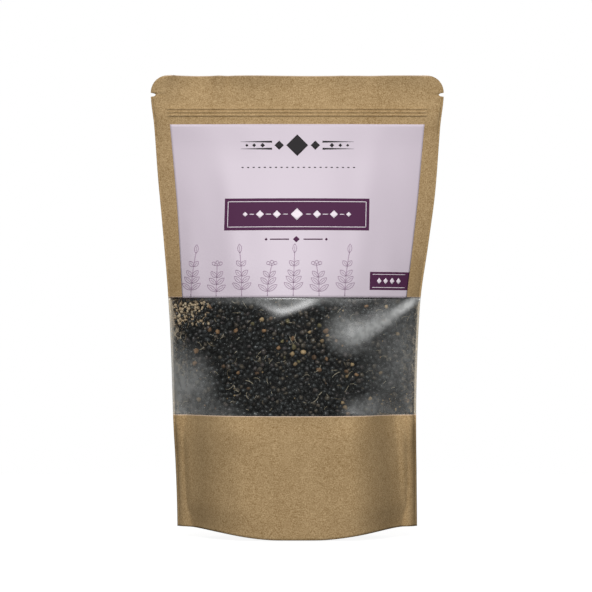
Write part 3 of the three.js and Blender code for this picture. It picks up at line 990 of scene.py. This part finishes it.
def ball_limit(face, radius):
    """How far from the weld plane the middle of a ball can lie before it meets the face."""
    reached = math.floor(radius / GRID_STEP)
    limit = face - radius
    for i in range(-reached, reached + 1):
        for k in range(-reached, reached + 1):
            left = radius**2 - (i**2 + k**2) * GRID_STEP**2
            if left > 0:
                limit = np.minimum(limit, np.roll(face, (i, k), (0, 1)) - math.sqrt(left))
    return limit


# Inside faces of the bag at the window, on a fine grid, to settle the berries against.
GRID_X = np.arange(-60, 60.1, GRID_STEP)
GRID_Z = np.arange(50, 123.1, GRID_STEP)
GRID_FRONT = inner_face(GRID_X[:, None], GRID_Z[None, :], FRONT)
GRID_BACK = inner_face(GRID_X[:, None], GRID_Z[None, :], BACK)
FRONT_LIMITS = [ball_limit(GRID_FRONT, radius) for radius in BALL_RADII]
BACK_LIMITS = [ball_limit(GRID_BACK, radius) for radius in BALL_RADII]


def grid_cell(x, z):
    return round((x - GRID_X[0]) / GRID_STEP), round((z - GRID_Z[0]) / GRID_STEP)


def berth(x, z, radius, sunk=0.0):
    """Radius of the ball that fits at x, z, smaller where the bag is thin, and the nearest and
    furthest that its middle can lie."""
    cell = grid_cell(x, z)
    for k in range(bisect.bisect_left(BALL_RADII, radius), -1, -1):
        near, far = sunk - FRONT_LIMITS[k][cell], BACK_LIMITS[k][cell]
        if near <= far:
            return min(radius, BALL_RADII[k]), near, far
    return 0.0, 0.0, 0.0


MISSES = 60  # failed berries after which the bag counts as full
PLACES_TRIED = 14
CELL = 4  # of the table that finds a berry's neighbours


def settle(rng):
    """Berries pushed up to the window one by one. Each stops where it meets the film or its
    neighbours, and of several places tried takes the one nearest the film. Towards the welds,
    where the bag is thin, only crumbs fit."""
    placed, cells = [], {}
    misses = 0
    while misses < MISSES:
        full = rng.uniform(*BERRY_RADIUS)
        best = None
        for _ in range(PLACES_TRIED):
            x = rng.uniform(-60, 60)
            z = rng.uniform(54.5, 121)
            radius, y, furthest = berth(x, z, full)
            if radius < CRUMB or z > fill_top(x) + rng.uniform(-2.5, 0.5):
                continue
            cell = (int(x // CELL), int(z // CELL))
            for di in (-1, 0, 1):
                for dk in (-1, 0, 1):
                    for other in cells.get((cell[0] + di, cell[1] + dk), ()):
                        touch = (NESTING * (radius + other[3])) ** 2
                        away = (x - other[0]) ** 2 + (z - other[2]) ** 2
                        if away < touch:
                            y = max(y, other[1] + math.sqrt(touch - away))
            if y > furthest:
                continue
            behind = y + GRID_FRONT[grid_cell(x, z)]
            if best is None or behind < best[4]:
                best = (x, y, z, radius, behind, cell)
        if best is None or best[4] > DEEPEST:
            misses += 1
            continue
        placed.append(best[:5])
        cells.setdefault(best[5], []).append(best[:4])
    return placed


def clinging(rng, count, corner, reach_x, reach_z, radii, apart=0.9, sunk=0):
    """Stray pieces held to the film by static, or sunk a little behind those that are, thinning
    out from a corner of the window. Near the welds only small ones fit."""
    strays = []
    for _ in range(20 * count):
        if len(strays) == count:
            break
        x = corner[0] + reach_x * rng.random() ** 0.8
        z = corner[1] + reach_z * rng.random()
        radius = rng.uniform(*radii)
        if any((x - s[0]) ** 2 + (z - s[2]) ** 2 < (apart * (radius + s[3])) ** 2 for s in strays):
            continue
        radius, y, _ = berth(x, z, radius, sunk)
        if radius > 0.35:
            strays.append((x, y, z, radius))
    return strays


def scattered(rng, count, radii):
    """Small bits lying between the berries against the film."""
    bits = []
    for _ in range(count):
        x = rng.uniform(-57, 57)
        z = rng.uniform(59, min(113, fill_top(x)))
        radius, y, _ = berth(x, z, rng.uniform(*radii), sunk=0.35)
        if radius:
            bits.append((x, y, z, radius))
    return bits


def any_way(rng):
    """A unit vector."""
    return Vector([rng.gauss(0, 1) for _ in range(3)]).normalized()


def wrinkled_ball(rng, detail):
    """A unit ball shrunken as a berry dries: flattened on several sides where it met its
    neighbours, and pulled in along wandering creases."""
    ball = bmesh.new()
    bmesh.ops.create_icosphere(ball, subdivisions=detail, radius=1)
    start = Vector([rng.uniform(0, 90) for _ in range(3)])
    squash = Vector([rng.uniform(0.68, 1.1) for _ in range(3)])
    flats = [(any_way(rng), rng.uniform(0.52, 0.9)) for _ in range(8)]
    for vert in ball.verts:
        flat = min([1.0] + [height / max(0.1, vert.co @ way) for way, height in flats])
        crease = math.exp(-((noise.noise(vert.co * 1.6 + start) / 0.08) ** 2))
        vert.co = vert.co * squash * (flat - 0.2 * crease)
    points = np.array([v.co for v in ball.verts])
    points /= np.linalg.norm(points, axis=1).max()
    faces = np.array([[v.index for v in f.verts] for f in ball.faces])
    ball.free()
    return points, faces


def berry_piece(name, rng, berries, shapes, material):
    """Many berries, each turned any way round, as one piece."""
    points, faces = [], []
    count = 0
    for x, y, z, radius in berries:
        shape, index = rng.choice(shapes)
        spin = Matrix.Rotation(rng.uniform(0, 6.28), 3, any_way(rng))
        points.append(shape * radius @ np.array(spin).T + (x, y, z))
        faces.append(index + count)
        count += len(shape)
    faces = np.concatenate(faces).tolist()
    make_piece(name, np.concatenate(points), faces, [material])


def tube_faces(start, rings, around):
    """Faces of a closed tube, whose rings of points follow one another from start."""
    faces = []
    for i in range(rings - 1):
        for j in range(around):
            a, b = start + around * i + j, start + around * i + (j + 1) % around
            faces.append((a, b, b + around, a + around))
    last = start + around * (rings - 1)
    return faces + [tuple(range(start, start + around))[::-1], tuple(range(last, last + around))]


STALK_RINGS = 8
STALK_SIDES = 5


def stalk_piece(name, rng, count):
    """Loose stalk ends: thin curled straws pressed to the film among the berries."""
    points, faces = [], []
    steps = np.linspace(-0.5, 0.5, STALK_RINGS)
    around = np.linspace(0, 2 * math.pi, STALK_SIDES + 1)[:-1, None]
    while len(points) < STALK_RINGS * STALK_SIDES * count:
        x = rng.uniform(-56, 55)
        z = rng.uniform(59.5, min(112, fill_top(x) - 1))
        length = rng.uniform(1.6, 6.0)
        turn = rng.uniform(0, math.pi) + rng.uniform(-2.4, 2.4) * steps * length / 5
        curl = np.cumsum(np.stack([np.cos(turn), np.sin(turn)], 1), axis=0) * length / STALK_RINGS
        px, pz = x + curl[:, 0], z + curl[:, 1]
        radius = rng.uniform(0.06, 0.13) * (1 - 0.5 * np.abs(steps))
        sunk = rng.uniform(0.1, 1.1) + 0.6 * np.abs(steps) * rng.random()
        berths = [berth(*place) for place in zip(px, pz, 0 * px + BALL_RADII[0], sunk)]
        if not all(fits for fits, _, _ in berths):
            continue
        core = np.stack([px, [near for _, near, _ in berths], pz], 1)
        across = np.stack([-np.sin(turn), 0 * turn, np.cos(turn)], 1)
        out = np.cos(around) * across[:, None] + np.sin(around) * np.array([0, 1, 0])
        faces += tube_faces(len(points), STALK_RINGS, STALK_SIDES)
        points.extend((core[:, None] + radius[:, None, None] * out).reshape(-1, 3))
    make_piece(name, points, faces, [STRAW])


HEAP_SHARE = 0.88  # of the bag's width
HEAP_TOP = -5  # from the top of the fill
HEAP_INSET = {FRONT: 6.5, BACK: 0.6}  # berries lie in front of it
HEAP_FOOT = 1.5  # above the gusset


def heap_core():
    """The body of the fill behind the berries at the window, down to the gusset."""
    shell = []
    for share in COLUMNS[::4] * HEAP_SHARE:
        x0 = share * float(seam_x(0.0))
        top = fill_top(share * FILL_HALF) + HEAP_TOP
        middle, half, foot = gusset_span(x0)
        walls = []
        for side, inset in HEAP_INSET.items():
            z = np.linspace(top, float(foot) + 3, 26)
            for _ in range(3):
                x = share * seam_x(z)
                y = side * np.maximum(0.6, inner_face(x, z, side) - inset)
                across = np.clip((y - middle) / half, -1, 1)
                z = np.maximum(z, foot + gusset_height(half, x0, across) + HEAP_FOOT)
            walls.append(np.stack([x, y, z], 1))
        across = np.linspace(-0.8, 0.8, 9)
        low = foot + gusset_height(half, x0, across) + HEAP_FOOT
        under = np.stack([np.full(9, x0), middle + across * half, low], 1)
        shell.append(np.concatenate([walls[0], under, walls[1][::-1]]))
    faces = tube_faces(0, len(shell), len(shell[0]))
    points = np.concatenate(shell)
    make_piece("berry_heap_core", points, faces, [BLACK_SKIN], ["dried_berries"])


KINDS = {"dark": 0.93, "russet": 0.035, "tan": 0.02, "olive": 0.015}  # shares of the berries
BATCH = 600  # berries in one piece


def fill():
    """The heap, the berries against the film, and the stray bits among them."""
    rng = random.Random(7)
    heap_core()
    fine = [wrinkled_ball(rng, 2) for _ in range(14)]
    plain = [wrinkled_ball(rng, 1) for _ in range(6)]
    deep, kinds = [], {kind: [] for kind in KINDS}
    for *berry, behind in settle(rng):
        if behind < DEEPER:
            kinds[rng.choices(list(KINDS), list(KINDS.values()))[0]].append(berry)
        else:
            deep.append(berry)
    kinds["dark"] += clinging(rng, 44, (-58, 99), 22, 14.5, (0.95, 1.45))
    kinds["tan"] += clinging(rng, 16, (34, 59), 23, 9, (0.4, 0.85))
    kinds["tan"] += scattered(rng, 30, (0.25, 0.6))
    kinds["russet"] += scattered(rng, 20, (0.35, 0.7))
    dark = kinds["dark"]
    for k, start in enumerate(range(0, len(dark), BATCH)):
        berry_piece(f"dark_berries_{k + 1}", rng, dark[start : start + BATCH], fine, BLACK_SKIN)
    berry_piece("deeper_berries", rng, deep, plain, BLACK_SKIN)
    for kind, skin in (("russet", RUSSET_SKIN), ("tan", TAN_SKIN), ("olive", OLIVE_SKIN)):
        berry_piece(f"{kind}_berries", rng, kinds[kind], fine, skin)
    # Pale chaff packed in behind the berries of the upper left corner: a painted light, standing in
    # for the lit inside of the bag that would show between them there.
    chaff_as_painted_light = clinging(rng, 110, (-58.5, 101), 18, 13, (1.0, 1.5), apart=0.5, sunk=1.6)
    berry_piece("corner_chaff_painted_light", rng, chaff_as_painted_light, plain, CHAFF_AS_PAINTED_LIGHT)
    berry_piece("pale_specks", rng, scattered(rng, 45, (0.16, 0.32)), plain, STRAW)
    stalk_piece("loose_stalks", rng, 90)


fill()

# ---- studio ----
def softbox(name, place, size, watts, shines=True, target=(0, 0, 110)):
    """A rectangular soft light. One that doesn't shine gives no reflection of itself."""
    light = bpy.data.lights.new(name, "AREA")
    light.shape = "RECTANGLE"
    light.size, light.size_y = (side * MM for side in size)
    light.energy = watts
    lamp = bpy.data.objects.new(name, light)
    lamp.location = Vector(place) * MM
    lamp.rotation_euler = (Vector(target) * MM - lamp.location).to_track_quat("-Z", "Y").to_euler()
    lamp.visible_glossy = shines
    SCENE.collection.objects.link(lamp)


FLOOR_RADIUS = 700
FLOOR_SIDES = 96
FLOOR_Z = -0.5  # clear of the bag's foot


def studio():
    """A glowing light table in a white room, and soft lights all round."""
    floor = bpy.data.meshes.new("floor")
    turn = np.linspace(0, 2 * math.pi, FLOOR_SIDES + 1)[:-1]
    rim = [FLOOR_RADIUS * np.cos(turn), FLOOR_RADIUS * np.sin(turn), FLOOR_Z + 0 * turn]
    floor.from_pydata((np.stack(rim, 1) * MM).tolist(), [], [tuple(range(FLOOR_SIDES))])
    made, tree = new_material("white acrylic light table")
    seen = add(tree, "ShaderNodeLightPath").outputs["Is Camera Ray"]
    glow = mixed(tree, seen, 0.0, 0.92)
    inputs = {
        "Base Color": rgb("#707070"),
        "Roughness": 0.9,
        "Emission Color": rgb("#ffffff"),
        "Emission Strength": glow,
    }
    finish_with(tree, inputs)
    floor.materials.append(made)
    stage = bpy.data.objects.new("floor", floor)
    SCENE.collection.objects.link(stage)

    # A white room: the backdrop is bright to look at, and gives a softer light of its own.
    world = bpy.data.worlds.new("white studio")
    SCENE.world = world
    world.use_nodes = True
    tree = world.node_tree
    tree.nodes.clear()
    seen = add(tree, "ShaderNodeLightPath").outputs["Is Camera Ray"]
    inputs = {"Color": rgb("#ffffff"), "Strength": mixed(tree, seen, 0.03, 1.0)}
    finish_with(tree, inputs, "ShaderNodeBackground", "ShaderNodeOutputWorld")

    softbox("front fill", (0, -1900, 900), (1000, 700), 12, shines=False)
    softbox("front key", (-250, -1790, 1385), (1300, 350), 34.5)
    softbox("right strip", (1100, -750, 700), (400, 130), 1.9)
    softbox("overhead softbox", (0, 0, 2000), (2000, 2000), 8)
    softbox("back fill", (0, 1700, 500), (1400, 900), 17, shines=False)
    SCENE.view_settings.view_transform = "Standard"


studio()
